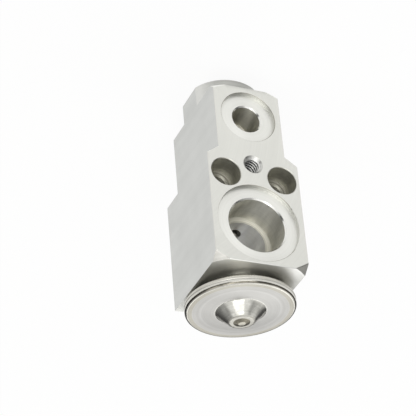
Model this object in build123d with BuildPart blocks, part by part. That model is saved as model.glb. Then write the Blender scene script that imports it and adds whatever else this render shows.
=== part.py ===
from build123d import *
import os
from math import cos, pi, radians, sqrt, tan

# Block-type thermostatic expansion valve for a vehicle air-conditioning evaporator.
# Millimetres. The valve axis is Z, with the adjuster's boss at the bottom and the
# power head on top. The hose side faces -Y and the evaporator side faces +Y. The
# origin is on the valve axis, in the boss's end face.

# Body block: an extruded bar, narrower towards the boss
body_width = 34.0
waist_width = 25.0
boss_height = 8.7
boss_radius = 13.9
boss_bevel = 0.8
waist_top = 35.8
shoulder_rise = 3.3
body_top = 81.1
front_reach = 20.8
rear_reach = 16.8
corner_turn_low = 22.1
corner_turn_high = 24.05
edge_break = 0.2

# Ports: each is a turned sealing recess with a bore in its floor
recess_depth = 1.45
port_bevel = 0.45
suction_height = 64.95
suction_recess_radius = 14.95
suction_bore_radius = 10.3
suction_bore_depth_front = 13.4
suction_bore_depth_rear = 10.0
passage_radius = 8.1
liquid_recess_radius = 10.15
inlet_height = 21.15
inlet_radius = 5.15
inlet_depth = 12.0
inlet_throat_radius = 4.2
inlet_throat_end = -4.8
outlet_height = 33.6
outlet_radius = 6.0
outlet_depth = 12.5
outlet_throat_radius = 4.6
outlet_throat_end = -2.5
drill_point_angle = 118.0

# Fixings: two through holes for cap screws and one tapped hole between them
fixing_height = 46.0
fixing_offset = 10.5
fixing_radius = 3.3
fixing_head_radius = 5.45
fixing_head_depth = 8.0
fixing_bevel = 0.55
tapped_height = 41.2
tapped_radius = 2.5
tapped_depth = 13.5
tapped_mouth_radius = 3.65

# Bore along the valve axis, from the boss upwards
adjuster_thread_radius = 7.0
thread_runout = 0.2
thread_mouth_bevel = 0.6
chamber_radius = 6.5
chamber_lead = 0.5
chamber_top = 24.5
orifice_radius = 1.7
seat_depth = 0.5
rod_radius = 1.4
rod_clearance = 0.05
seal_recess_radius = 2.6
seal_recess_depth = 4.0
neck_port_radius = 6.0
neck_bore_depth = 7.0
head_seal_bevel = 2.15

# Power head: a threaded neck, a pan and a cover welded at the rim
neck_radius = 11.0
neck_clearance = 0.05
neck_bore_radius = 7.2
neck_end_gap = 1.2
neck_end_bevel = 0.5
neck_flange_radius = 13.5
neck_flange_thickness = 1.2
neck_seat_gap = 0.05
spigot_radius = 9.0
rim_radius = 19.15
seam_bevel = 0.15
pan_sheet = 1.5
pan_rim_width = 4.45
pan_rim_round = 0.8
pan_bend = 1.0
diaphragm_sheet = 0.2
diaphragm_weld_inset = 0.1
diaphragm_wave_rise = 0.45
diaphragm_wave_width = 1.8
cover_sheet = 1.05
cover_rim_height = 1.7
cover_rim_round = 1.0
cover_slope_width = 2.45
cover_slope_drop = 0.08
cover_band_width = 3.85
cover_step_rise = 0.1
cover_step_width = 0.4
cone_base_radius = 8.7
cone_tip_radius = 4.4
cone_rise = 4.25
cone_root_round = 0.6
cone_shoulder_round = 1.6
plug_radius = 2.9
plug_tip_radius = 1.2
plug_height = 0.6
plug_edge_bevel = 0.1
plug_stem_radius = 1.2
plug_stem_length = 1.6
stem_clearance = 0.03

# Valve train: everything that slides when the head opens the valve
valve_lift = 0.8
closing_gap = 0.05
contact_gap = 0.02
stop_margin = 2.3
stop_thickness = 1.3
stop_edge_bevel = 0.3
hub_radius = 3.4
hub_length = 5.2
hub_bevel = 0.6
rod_top_in_hub = 0.5
rod_tip_radius = 0.9
rod_tip_length = 7.0
rod_top_bevel = 0.25
ball_radius = 2.4
cradle_radius = 5.3
cradle_thickness = 2.4
cradle_stem_radius = 3.3
cradle_stem_length = 2.4
cradle_lip = 0.6
cradle_edge_bevel = 0.4
cradle_stem_bevel = 0.6
socket_half_angle = 45.0
damper_sheet = 0.3
damper_bend = 0.4
damper_leg_length = 3.4
damper_leg_count = 6
damper_slot_width = 2.6
damper_clearance = 0.1
spring_radius = 4.4
spring_wire_radius = 0.55
spring_pitch = 1.75
spring_wire_flat_count = 8

# Rod seal in its recess, with a backing washer and a toothed push nut
ring_clearance = 0.03
ring_flat_count = 8
washer_thickness = 0.8
push_nut_thickness = 0.4
push_nut_bore_clearance = 0.35
push_nut_tooth_count = 6
push_nut_slot_width = 0.7

# Adjusting screw: a socket screw with a sealing ring, turned in the boss
adjuster_travel = 1.0
adjuster_mouth_gap = 0.3
adjuster_thread_clearance = 0.05
adjuster_head_length = 5.0
adjuster_shank_clearance = 0.08
adjuster_groove_length = 2.0
adjuster_land_length = 0.8
adjuster_groove_radius = 5.0
adjuster_seal_section = 0.71
adjuster_pilot_radius = 2.7
adjuster_pilot_length = 1.7
socket_across_flats = 5.0
socket_depth = 3.8
screw_bevel = 0.5

# Heights and radii worked out from the sizes above
overcut = 1.0
drill_point = tan(radians(90.0 - drill_point_angle / 2.0))
shoulder_top = waist_top + shoulder_rise
neck_bore_radius_in_body = neck_radius + neck_clearance
neck_bore_floor = body_top - neck_bore_depth
rod_bore_radius = rod_radius + rod_clearance
seal_floor = suction_height - passage_radius - seal_recess_depth
pan_inner_radius = rim_radius - pan_rim_width
diaphragm_radius = rim_radius - diaphragm_weld_inset
cover_slope_radius = rim_radius - cover_slope_width
cover_step_radius = cover_slope_radius - cover_band_width
stop_radius = pan_inner_radius - stop_margin
flange_bottom = body_top + neck_seat_gap
pan_bottom = flange_bottom + neck_flange_thickness
pan_floor = pan_bottom + pan_sheet
stop_bottom = pan_floor + valve_lift + contact_gap
stop_top = stop_bottom + stop_thickness
diaphragm_bottom = stop_top + contact_gap
diaphragm_top = diaphragm_bottom + diaphragm_sheet
hub_bottom = stop_bottom - hub_length
rod_top = stop_bottom - rod_top_in_hub
contact_radius = ball_radius * cos(radians(socket_half_angle))
ball_height = chamber_top + seat_depth - (contact_radius - orifice_radius) - contact_radius - closing_gap
rod_bottom = ball_height + ball_radius + contact_gap
cradle_contact = ball_height - contact_radius - contact_gap
cradle_top = cradle_contact + cradle_lip
cradle_bottom = cradle_top - cradle_thickness
damper_bottom = cradle_bottom - damper_sheet
adjuster_recess = adjuster_travel + adjuster_mouth_gap
screw_head_top = adjuster_recess + adjuster_head_length
adjuster_thread_end = screw_head_top + adjuster_travel + thread_runout
groove_bottom = adjuster_thread_end + chamber_lead + adjuster_travel
groove_top = groove_bottom + adjuster_groove_length
adjuster_top = groove_top + adjuster_land_length
spring_bottom = adjuster_top + contact_gap
spring_top = damper_bottom - contact_gap


def port_outline(side, height, recess_radius, bore_radius, bore_depth, throat_radius, throat_end, point):
    """Half outline, in the Y-Z plane, of a recess, a bevelled bore and the throat behind it.

    side is -1 for a port in the front face and 1 for one in the rear face.
    """
    face_y = -front_reach if side < 0 else rear_reach
    inward = -side
    floor_y = face_y + inward * recess_depth
    bore_end = face_y + inward * bore_depth
    return [
        (face_y - inward * overcut, height),
        (face_y - inward * overcut, height + recess_radius + edge_break),
        (face_y, height + recess_radius + edge_break),
        (face_y + inward * edge_break, height + recess_radius),
        (floor_y, height + recess_radius),
        (floor_y, height + bore_radius + port_bevel),
        (floor_y + inward * port_bevel, height + bore_radius),
        (bore_end, height + bore_radius),
        (bore_end, height + throat_radius),
        (throat_end, height + throat_radius),
        (throat_end + inward * throat_radius * point, height),
    ]


def squeezed_section(radius, height, reach):
    """Section of a rubber ring in its groove, with a flat towards each wall that it presses on."""
    with Locations((radius, height)):
        RegularPolygon(reach, ring_flat_count, major_radius=False, rotation=180 / ring_flat_count)


# Valve body: the extruded bar with its boss, turned corners and machined bores
with BuildPart() as valve_body:
    with BuildSketch(Plane.XZ.offset(-rear_reach)):
        with BuildLine():
            Polyline(
                (0, boss_height),
                (waist_width / 2, boss_height),
                (waist_width / 2, waist_top),
                (body_width / 2, shoulder_top),
                (body_width / 2, body_top),
                (0, body_top),
            )
            mirror(about=Plane.YZ)
        make_face()
    extrude(amount=front_reach + rear_reach)
    with BuildSketch():
        Circle(boss_radius)
        Rectangle(waist_width, 2 * boss_radius, mode=Mode.INTERSECT)
    extrude(amount=boss_height)
    chamfer(faces().sort_by(Axis.Z)[0].edges(), length=boss_bevel)

    # The bar is chucked on the valve axis and turned to 45 degrees at both ends
    turn_radius = sqrt((body_width / 2) ** 2 + front_reach**2) + overcut
    with BuildSketch(Plane.XZ):
        with BuildLine():
            Polyline(
                (0, 0),
                (corner_turn_low, 0),
                (corner_turn_low, boss_height),
                (turn_radius, boss_height + turn_radius - corner_turn_low),
                (turn_radius, body_top - turn_radius + corner_turn_high),
                (corner_turn_high, body_top),
                (0, body_top),
                close=True,
            )
        make_face()
    revolve(axis=Axis.Z, mode=Mode.INTERSECT)
    flat_ends = faces().filter_by(Axis.Y).sort_by(Axis.Y)
    chamfer(flat_ends[0].edges() + flat_ends[-1].edges(), length=edge_break)

    # Four ports: the suction passage runs through, the liquid bores end in drill points
    passage_end = rear_reach - suction_bore_depth_rear
    ports = [
        port_outline(-1, suction_height, suction_recess_radius, suction_bore_radius,
                     suction_bore_depth_front, passage_radius, passage_end, 0.0),
        port_outline(1, suction_height, suction_recess_radius, suction_bore_radius,
                     suction_bore_depth_rear, passage_radius, 0.0, 0.0),
        port_outline(-1, inlet_height, liquid_recess_radius, inlet_radius,
                     inlet_depth, inlet_throat_radius, inlet_throat_end, drill_point),
        port_outline(1, outlet_height, liquid_recess_radius, outlet_radius,
                     outlet_depth, outlet_throat_radius, outlet_throat_end, drill_point),
    ]
    for outline in ports:
        with BuildSketch(Plane.YZ):
            with BuildLine():
                Polyline(*outline, close=True)
            make_face()
        revolve(axis=Axis((0, 0, outline[0][1]), (0, 1, 0)), mode=Mode.SUBTRACT)

    # Everything bored along the valve axis, as one turned outline
    with BuildSketch(Plane.XZ):
        with BuildLine():
            Polyline(
                (0, -overcut),
                (adjuster_thread_radius + thread_mouth_bevel, -overcut),
                (adjuster_thread_radius + thread_mouth_bevel, 0),
                (adjuster_thread_radius, thread_mouth_bevel),
                (adjuster_thread_radius, adjuster_thread_end),
                (chamber_radius, adjuster_thread_end + chamber_lead),
                (chamber_radius, chamber_top),
                (orifice_radius + seat_depth, chamber_top),
                (orifice_radius, chamber_top + seat_depth),
                (orifice_radius, outlet_height),
                (rod_bore_radius, outlet_height),
                (rod_bore_radius, seal_floor),
                (seal_recess_radius, seal_floor),
                (seal_recess_radius, suction_height),
                (neck_port_radius, suction_height),
                (neck_port_radius, neck_bore_floor),
                (neck_bore_radius_in_body, neck_bore_floor),
                (neck_bore_radius_in_body, body_top - head_seal_bevel),
                (neck_bore_radius_in_body + head_seal_bevel, body_top),
                (neck_bore_radius_in_body + head_seal_bevel, body_top + overcut),
                (0, body_top + overcut),
                close=True,
            )
        make_face()
    revolve(axis=Axis.Z, mode=Mode.SUBTRACT)

    # Fixing holes, counterbored from the front and eased at both mouths
    fixing_outline = [
        (fixing_offset, -front_reach - overcut),
        (fixing_offset + fixing_head_radius + edge_break, -front_reach - overcut),
        (fixing_offset + fixing_head_radius + edge_break, -front_reach),
        (fixing_offset + fixing_head_radius, -front_reach + edge_break),
        (fixing_offset + fixing_head_radius, -front_reach + fixing_head_depth),
        (fixing_offset + fixing_radius + fixing_bevel, -front_reach + fixing_head_depth),
        (fixing_offset + fixing_radius, -front_reach + fixing_head_depth + fixing_bevel),
        (fixing_offset + fixing_radius, rear_reach - fixing_bevel),
        (fixing_offset + fixing_radius + fixing_bevel, rear_reach),
        (fixing_offset + fixing_radius + fixing_bevel, rear_reach + overcut),
        (fixing_offset, rear_reach + overcut),
    ]
    with BuildSketch(Plane.XY.offset(fixing_height)):
        with BuildLine():
            Polyline(*fixing_outline, close=True)
        make_face()
    revolve(axis=Axis((fixing_offset, 0, fixing_height), (0, 1, 0)), mode=Mode.SUBTRACT)
    with BuildSketch(Plane.XY.offset(fixing_height)):
        with BuildLine():
            Polyline(*[(-x, y) for x, y in fixing_outline], close=True)
        make_face()
    revolve(axis=Axis((-fixing_offset, 0, fixing_height), (0, 1, 0)), mode=Mode.SUBTRACT)

    # Tapped hole between them, drilled and countersunk
    mouth_depth = tapped_mouth_radius - tapped_radius
    with BuildSketch(Plane.YZ):
        with BuildLine():
            Polyline(
                (-front_reach - overcut, tapped_height),
                (-front_reach - overcut, tapped_height + tapped_mouth_radius),
                (-front_reach, tapped_height + tapped_mouth_radius),
                (-front_reach + mouth_depth, tapped_height + tapped_radius),
                (-front_reach + tapped_depth, tapped_height + tapped_radius),
                (-front_reach + tapped_depth + tapped_radius * drill_point, tapped_height),
                close=True,
            )
        make_face()
    revolve(axis=Axis((0, 0, tapped_height), (0, 1, 0)), mode=Mode.SUBTRACT)

# Threaded neck of the power head, with a flange that seats over its seal
with BuildPart() as head_neck:
    with BuildSketch(Plane.XZ):
        with BuildLine():
            Polyline(
                (neck_bore_radius, neck_bore_floor + neck_end_gap),
                (neck_radius, neck_bore_floor + neck_end_gap),
                (neck_radius, flange_bottom),
                (neck_flange_radius, flange_bottom),
                (neck_flange_radius, pan_bottom),
                (spigot_radius, pan_bottom),
                (spigot_radius, pan_floor),
                (neck_bore_radius, pan_floor),
                close=True,
            )
        make_face()
    revolve(axis=Axis.Z)
    chamfer(edges().filter_by(GeomType.CIRCLE).sort_by(Axis.Z)[:2], length=neck_end_bevel)

# Seal ring in the corner between the neck and the body's bevel
head_seal_section = (head_seal_bevel + neck_clearance) * (1 - sqrt(0.5)) - ring_clearance
with BuildPart() as head_seal_ring:
    with BuildSketch(Plane.XZ):
        squeezed_section(
            neck_radius + head_seal_section + ring_clearance,
            body_top - head_seal_section,
            head_seal_section,
        )
    revolve(axis=Axis.Z)

# Lower shell of the head: a pressed pan with a flat rim
with BuildPart() as head_pan:
    with BuildSketch(Plane.XZ):
        with BuildLine():
            Polyline(
                (spigot_radius + neck_clearance, pan_bottom),
                (pan_inner_radius + pan_sheet, pan_bottom),
                (pan_inner_radius + pan_sheet, diaphragm_bottom - pan_sheet),
                (rim_radius, diaphragm_bottom - pan_sheet),
                (rim_radius, diaphragm_bottom),
                (pan_inner_radius, diaphragm_bottom),
                (pan_inner_radius, pan_floor),
                (spigot_radius + neck_clearance, pan_floor),
                close=True,
            )
        make_face()
        fillet(vertices().group_by(Axis.X)[-1].sort_by(Axis.Y)[0], radius=pan_rim_round)
        chamfer(vertices().group_by(Axis.X)[-1].sort_by(Axis.Y)[-1], length=seam_bevel)
        fillet(vertices().group_by(Axis.X)[2].sort_by(Axis.Y)[0], radius=pan_bend)
    revolve(axis=Axis.Z)

# Diaphragm: a thin disc clamped between the rims, with one raised wave
wave_middle = (stop_radius + pan_inner_radius) / 2
with BuildPart() as diaphragm:
    with BuildSketch(Plane.XZ):
        with BuildLine():
            Polyline(
                (wave_middle - diaphragm_wave_width / 2, diaphragm_bottom),
                (0, diaphragm_bottom),
                (0, diaphragm_top),
                (wave_middle - diaphragm_wave_width / 2, diaphragm_top),
            )
            ThreePointArc(
                (wave_middle - diaphragm_wave_width / 2, diaphragm_top),
                (wave_middle, diaphragm_top + diaphragm_wave_rise),
                (wave_middle + diaphragm_wave_width / 2, diaphragm_top),
            )
            Polyline(
                (wave_middle + diaphragm_wave_width / 2, diaphragm_top),
                (diaphragm_radius, diaphragm_top),
                (diaphragm_radius, diaphragm_bottom),
                (wave_middle + diaphragm_wave_width / 2, diaphragm_bottom),
            )
            ThreePointArc(
                (wave_middle + diaphragm_wave_width / 2, diaphragm_bottom),
                (wave_middle, diaphragm_bottom + diaphragm_wave_rise),
                (wave_middle - diaphragm_wave_width / 2, diaphragm_bottom),
            )
        make_face()
    revolve(axis=Axis.Z)

# Upper shell of the head: a pressed cover whose middle rises to a blunt cone
cover_face = diaphragm_top + cover_rim_height
cover_middle = cover_face + cover_step_rise
cone_top = cover_middle + cone_rise
cone_slope = cone_rise / (cone_base_radius - cone_tip_radius)
cone_wall = cover_sheet * sqrt(1 + cone_slope**2)
inner_ceiling = cover_middle - cover_sheet
inner_cone_radius = cone_base_radius + (cover_middle - cone_wall - inner_ceiling) / cone_slope
inner_cone_top = cone_top - cover_sheet
inner_tip_radius = inner_cone_radius - (inner_cone_top - inner_ceiling) / cone_slope
with BuildPart() as head_cover:
    with BuildSketch(Plane.XZ):
        with BuildLine():
            Polyline(
                (plug_stem_radius + stem_clearance, cone_top),
                (cone_tip_radius, cone_top),
                (cone_base_radius, cover_middle),
                (cover_step_radius, cover_middle),
                (cover_step_radius + cover_step_width, cover_face),
                (cover_slope_radius, cover_face),
                (rim_radius, cover_face - cover_slope_drop),
                (rim_radius, diaphragm_top),
                (pan_inner_radius, diaphragm_top),
                (pan_inner_radius, inner_ceiling),
                (inner_cone_radius, inner_ceiling),
                (inner_tip_radius, inner_cone_top),
                (plug_stem_radius + stem_clearance, inner_cone_top),
                close=True,
            )
        make_face()
        fillet(vertices().group_by(Axis.X)[-1].sort_by(Axis.Y)[-1], radius=cover_rim_round)
        chamfer(vertices().group_by(Axis.X)[-1].sort_by(Axis.Y)[0], length=seam_bevel)
    revolve(axis=Axis.Z)
    cone_root = edges().filter_by(GeomType.CIRCLE).filter_by(
        lambda e: abs(e.radius - cone_base_radius) < 0.01
    )
    fillet(cone_root, radius=cone_root_round)
    cone_shoulder = edges().filter_by(GeomType.CIRCLE).filter_by(
        lambda e: abs(e.radius - cone_tip_radius) < 0.01
    )
    fillet(cone_shoulder, radius=cone_shoulder_round)

# Charge plug welded over the filling hole at the cone's tip
with BuildPart() as charge_plug:
    with BuildSketch(Plane.XZ):
        with BuildLine():
            Polyline(
                (plug_tip_radius, cone_top + plug_height),
                (0, cone_top + plug_height),
                (0, cone_top - plug_stem_length),
                (plug_stem_radius, cone_top - plug_stem_length),
                (plug_stem_radius, cone_top),
                (plug_radius, cone_top),
                close=True,
            )
        make_face()
    revolve(axis=Axis.Z)
    chamfer(edges().filter_by(GeomType.CIRCLE).sort_by(Axis.Z)[-1], length=plug_edge_bevel)

# Diaphragm stop: the plate that the diaphragm pushes on, with a hub for the rod
with BuildPart() as diaphragm_stop:
    with BuildSketch(Plane.XZ):
        with BuildLine():
            Polyline(
                (0, stop_top),
                (stop_radius, stop_top),
                (stop_radius, stop_bottom),
                (hub_radius, stop_bottom),
                (hub_radius, hub_bottom),
                (rod_radius + contact_gap, hub_bottom),
                (rod_radius + contact_gap, rod_top + contact_gap),
                (0, rod_top + contact_gap),
                close=True,
            )
        make_face()
    revolve(axis=Axis.Z)
    chamfer(edges().filter_by(GeomType.CIRCLE).group_by(Axis.Z)[-1], length=stop_edge_bevel)
    chamfer(edges().filter_by(GeomType.CIRCLE).filter_by(
        lambda e: abs(e.radius - hub_radius) < 0.01).sort_by(Axis.Z)[-1], length=hub_bevel)

# Push rod: one thin pin from the stop, across the suction passage, to the ball
with BuildPart() as push_rod:
    with BuildSketch(Plane.XZ):
        with BuildLine():
            Polyline(
                (0, rod_bottom),
                (rod_tip_radius, rod_bottom),
                (rod_tip_radius, rod_bottom + rod_tip_length),
                (rod_radius, rod_bottom + rod_tip_length + rod_radius - rod_tip_radius),
                (rod_radius, rod_top),
                (0, rod_top),
                close=True,
            )
        make_face()
    revolve(axis=Axis.Z)
    chamfer(edges().filter_by(GeomType.CIRCLE).sort_by(Axis.Z)[-1], length=rod_top_bevel)

# Rod seal, backing washer and push nut, stacked in the recess round the rod
seal_section = (seal_recess_radius - rod_radius) / 2 - ring_clearance
seal_middle = (seal_recess_radius + rod_radius) / 2
washer_bottom = seal_floor + 2 * seal_section + contact_gap
nut_bottom = washer_bottom + washer_thickness + contact_gap
with BuildPart() as rod_seal:
    with BuildSketch(Plane.XZ):
        squeezed_section(seal_middle, seal_floor + seal_section, seal_section)
    revolve(axis=Axis.Z)

with BuildPart() as seal_washer:
    with BuildSketch(Plane.XY.offset(washer_bottom)):
        Circle(seal_recess_radius - ring_clearance)
        Circle(rod_radius + rod_clearance, mode=Mode.SUBTRACT)
    extrude(amount=washer_thickness)

with BuildPart() as seal_push_nut:
    with BuildSketch(Plane.XY.offset(nut_bottom)):
        Circle(seal_recess_radius - ring_clearance)
        with PolarLocations(seal_recess_radius, push_nut_tooth_count):
            Rectangle(push_nut_slot_width, push_nut_slot_width, mode=Mode.SUBTRACT)
        Circle(rod_radius + push_nut_bore_clearance, mode=Mode.SUBTRACT)
    extrude(amount=push_nut_thickness)

# Valve ball
with BuildPart() as valve_ball:
    with Locations((0, 0, ball_height)):
        Sphere(ball_radius)

# Ball cradle: a turned button with a conical socket and a stem inside the spring
socket_mouth = contact_radius + cradle_top - cradle_contact
with BuildPart() as ball_cradle:
    with BuildSketch(Plane.XZ):
        with BuildLine():
            Polyline(
                (0, cradle_contact - contact_radius + rod_tip_radius),
                (rod_tip_radius, cradle_contact - contact_radius + rod_tip_radius),
                (socket_mouth, cradle_top),
                (cradle_radius, cradle_top),
                (cradle_radius, cradle_bottom),
                (cradle_stem_radius, cradle_bottom),
                (cradle_stem_radius, cradle_bottom - cradle_stem_length),
                (0, cradle_bottom - cradle_stem_length),
                close=True,
            )
        make_face()
    revolve(axis=Axis.Z)
    chamfer(edges().filter_by(GeomType.CIRCLE).sort_by(Axis.Z)[0], length=cradle_stem_bevel)
    chamfer(edges().filter_by(GeomType.CIRCLE).filter_by(
        lambda e: abs(e.radius - cradle_radius) < 0.01).sort_by(Axis.Z)[-1], length=cradle_edge_bevel)

# Damping spring: a slit cup whose legs rub along the chamber's wall
damper_outer = chamber_radius - damper_clearance
with BuildPart() as damping_spring:
    with BuildSketch(Plane.XZ):
        with BuildLine():
            Polyline(
                (cradle_stem_radius + damper_clearance, damper_bottom),
                (damper_outer - damper_sheet, damper_bottom),
                (damper_outer - damper_sheet, damper_bottom - damper_leg_length),
                (damper_outer, damper_bottom - damper_leg_length),
                (damper_outer, cradle_bottom),
                (cradle_stem_radius + damper_clearance, cradle_bottom),
                close=True,
            )
        make_face()
        chamfer(vertices().sort_by(Axis.Y)[-2:].sort_by(Axis.X)[-1], length=damper_bend)
    revolve(axis=Axis.Z)
    with BuildSketch(Plane.XY.offset(cradle_bottom)):
        with PolarLocations(chamber_radius, damper_leg_count):
            Rectangle(chamber_radius - cradle_radius + damper_sheet, damper_slot_width)
    extrude(amount=-damper_leg_length - 2 * damper_sheet, mode=Mode.SUBTRACT)

# Superheat spring between the damping spring and the adjusting screw, ends ground
spring_turns_height = spring_top - spring_bottom
with BuildPart() as superheat_spring:
    with BuildLine():
        Helix(
            pitch=spring_pitch,
            height=spring_turns_height,
            radius=spring_radius,
            center=(0, 0, spring_bottom),
        )
    with BuildSketch(Plane(origin=(spring_radius, 0, spring_bottom),
                           z_dir=(0, 2 * pi * spring_radius, spring_pitch))):
        RegularPolygon(spring_wire_radius, spring_wire_flat_count)
    sweep(is_frenet=True)
    with BuildSketch(Plane.XY.offset(spring_bottom)):
        Circle(chamber_radius)
    extrude(amount=spring_turns_height, mode=Mode.INTERSECT)

# Adjusting screw: threaded head with a hex socket, ring groove and spring pilot
shank_radius = chamber_radius - adjuster_shank_clearance
with BuildPart() as adjusting_screw:
    with BuildSketch(Plane.XZ):
        with BuildLine():
            Polyline(
                (0, adjuster_recess),
                (adjuster_thread_radius - adjuster_thread_clearance, adjuster_recess),
                (adjuster_thread_radius - adjuster_thread_clearance, screw_head_top),
                (shank_radius, screw_head_top),
                (shank_radius, groove_bottom),
                (adjuster_groove_radius, groove_bottom),
                (adjuster_groove_radius, groove_top),
                (shank_radius, groove_top),
                (shank_radius, adjuster_top),
                (adjuster_pilot_radius, adjuster_top),
                (adjuster_pilot_radius, adjuster_top + adjuster_pilot_length),
                (0, adjuster_top + adjuster_pilot_length),
                close=True,
            )
        make_face()
    revolve(axis=Axis.Z)
    chamfer(edges().filter_by(GeomType.CIRCLE).sort_by(Axis.Z)[0], length=screw_bevel)
    chamfer(edges().filter_by(GeomType.CIRCLE).sort_by(Axis.Z)[-1], length=screw_bevel)
    with BuildSketch(Plane.XY.offset(adjuster_recess)):
        RegularPolygon(socket_across_flats / 2, 6, major_radius=False)
    extrude(amount=socket_depth, mode=Mode.SUBTRACT)

# Adjusting screw's sealing ring
adjuster_seal_middle = (chamber_radius + adjuster_groove_radius) / 2
with BuildPart() as adjusting_screw_seal:
    with BuildSketch(Plane.XZ):
        squeezed_section(adjuster_seal_middle, (groove_bottom + groove_top) / 2, adjuster_seal_section)
    revolve(axis=Axis.Z)

valve_body.part.label = "valve_body"
head_neck.part.label = "head_neck"
head_seal_ring.part.label = "head_seal_ring"
head_pan.part.label = "head_pan"
diaphragm.part.label = "diaphragm"
head_cover.part.label = "head_cover"
charge_plug.part.label = "charge_plug"
diaphragm_stop.part.label = "diaphragm_stop"
push_rod.part.label = "push_rod"
rod_seal.part.label = "rod_seal"
seal_washer.part.label = "seal_washer"
seal_push_nut.part.label = "seal_push_nut"
valve_ball.part.label = "valve_ball"
ball_cradle.part.label = "ball_cradle"
damping_spring.part.label = "damping_spring"
superheat_spring.part.label = "superheat_spring"
adjusting_screw.part.label = "adjusting_screw"
adjusting_screw_seal.part.label = "adjusting_screw_seal"

os.makedirs("parts", exist_ok=True)
export_step(valve_body.part, "parts/valve_body.step")
export_step(head_neck.part, "parts/head_neck.step")
export_step(head_seal_ring.part, "parts/head_seal_ring.step")
export_step(head_pan.part, "parts/head_pan.step")
export_step(diaphragm.part, "parts/diaphragm.step")
export_step(head_cover.part, "parts/head_cover.step")
export_step(charge_plug.part, "parts/charge_plug.step")
export_step(diaphragm_stop.part, "parts/diaphragm_stop.step")
export_step(push_rod.part, "parts/push_rod.step")
export_step(rod_seal.part, "parts/rod_seal.step")
export_step(seal_washer.part, "parts/seal_washer.step")
export_step(seal_push_nut.part, "parts/seal_push_nut.step")
export_step(valve_ball.part, "parts/valve_ball.step")
export_step(ball_cradle.part, "parts/ball_cradle.step")
export_step(damping_spring.part, "parts/damping_spring.step")
export_step(superheat_spring.part, "parts/superheat_spring.step")
export_step(adjusting_screw.part, "parts/adjusting_screw.step")
export_step(adjusting_screw_seal.part, "parts/adjusting_screw_seal.step")
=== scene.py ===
import logging
import math
from dataclasses import dataclass, field, replace
from enum import Enum
from typing import Any, Callable, Optional

import bpy
from mathutils import Matrix, Vector


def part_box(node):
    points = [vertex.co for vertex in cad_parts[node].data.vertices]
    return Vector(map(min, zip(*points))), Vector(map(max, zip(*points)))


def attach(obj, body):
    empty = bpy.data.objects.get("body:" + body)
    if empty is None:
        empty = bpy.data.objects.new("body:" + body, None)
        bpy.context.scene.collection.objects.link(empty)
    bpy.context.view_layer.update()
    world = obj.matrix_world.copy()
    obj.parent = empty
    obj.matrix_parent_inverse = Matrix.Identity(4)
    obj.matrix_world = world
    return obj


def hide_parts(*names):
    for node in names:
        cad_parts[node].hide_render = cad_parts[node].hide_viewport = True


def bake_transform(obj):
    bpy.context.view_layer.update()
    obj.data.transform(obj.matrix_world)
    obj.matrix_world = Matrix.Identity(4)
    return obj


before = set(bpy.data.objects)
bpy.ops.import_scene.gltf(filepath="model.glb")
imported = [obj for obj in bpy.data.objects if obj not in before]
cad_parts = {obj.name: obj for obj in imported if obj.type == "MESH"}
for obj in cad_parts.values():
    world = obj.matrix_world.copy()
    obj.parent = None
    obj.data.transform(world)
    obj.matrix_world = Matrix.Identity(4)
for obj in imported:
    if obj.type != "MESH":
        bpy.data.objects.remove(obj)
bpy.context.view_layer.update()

log = logging.getLogger("expansion_valve")

MM = 0.001
WHITE = (1.0, 1.0, 1.0, 1.0)

# Points of a copied mesh that lie closer than this, in metres, become one
WELD_GAP = 0.000002

Point = tuple[float, float, float]
ORIGIN: Point = (0.0, 0.0, 0.0)

# Places on the block, in millimetres, that tell one face from another
HOSE_FACE_Y = -20.8
EVAPORATOR_FACE_Y = 16.8
BOSS_HEIGHT = 8.75
WAIST_BOTTOM = 35.0
WAIST_TOP = 40.0
OUTLINE_X = 12.0
OUTLINE_BOTTOM = 12.0
OUTLINE_TOP = 80.1
CORNER_X = 8.0
SUCTION_Z = 64.95
SUCTION_REACH = 15.2
PASSAGE_RADIUS = 8.3
INLET_Z = 21.15
OUTLET_Z = 33.6
LIQUID_REACH = 10.4
RECESS_DEPTH = 1.45
MOUTH_WIDTH = 1.0
FIXING_X = 10.5
FIXING_Z = 46.0
FIXING_REACH = 4.0
COUNTERBORE_REACH = 5.75
TAPPED_Z = 41.2
TAPPED_REACH = 4.0
TAPPED_DEPTH = 18.0
COUNTERSINK_DEPTH = 0.6

# Each port's height, how far it reaches, and its side: hose -1, evaporator 1, both 0
PORTS = (
    (SUCTION_Z, SUCTION_REACH, 0.0), (INLET_Z, LIQUID_REACH, -1.0), (OUTLET_Z, LIQUID_REACH, 1.0),
)

# Limits on the parts of a face's direction: along an axis, square to it, out of the tapped
# hole, and halfway, as a bevel's
FLAT = 0.999
SQUARE = 0.01
OUTWARD = 0.3
BEVEL_LOW = 0.6
BEVEL_HIGH = 0.8


class Axis(Enum):
    """An axis of the frame, round or along which marks run and tones change."""

    X = (1.0, 0.0, 0.0)
    Y = (0.0, 1.0, 0.0)
    Z = (0.0, 0.0, 1.0)


def linear(hex_colour: str) -> tuple[float, float, float, float]:
    """Turn an sRGB hex colour into linear RGBA.

    Args:
        hex_colour: six hex digits with a leading hash.

    Returns:
        Linear red, green, blue and an alpha of one.
    """
    parts = [int(hex_colour[i:i + 2], 16) / 255.0 for i in (1, 3, 5)]
    curve = [c / 12.92 if c <= 0.04045 else ((c + 0.055) / 1.055) ** 2.4 for c in parts]
    return (curve[0], curve[1], curve[2], 1.0)


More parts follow.
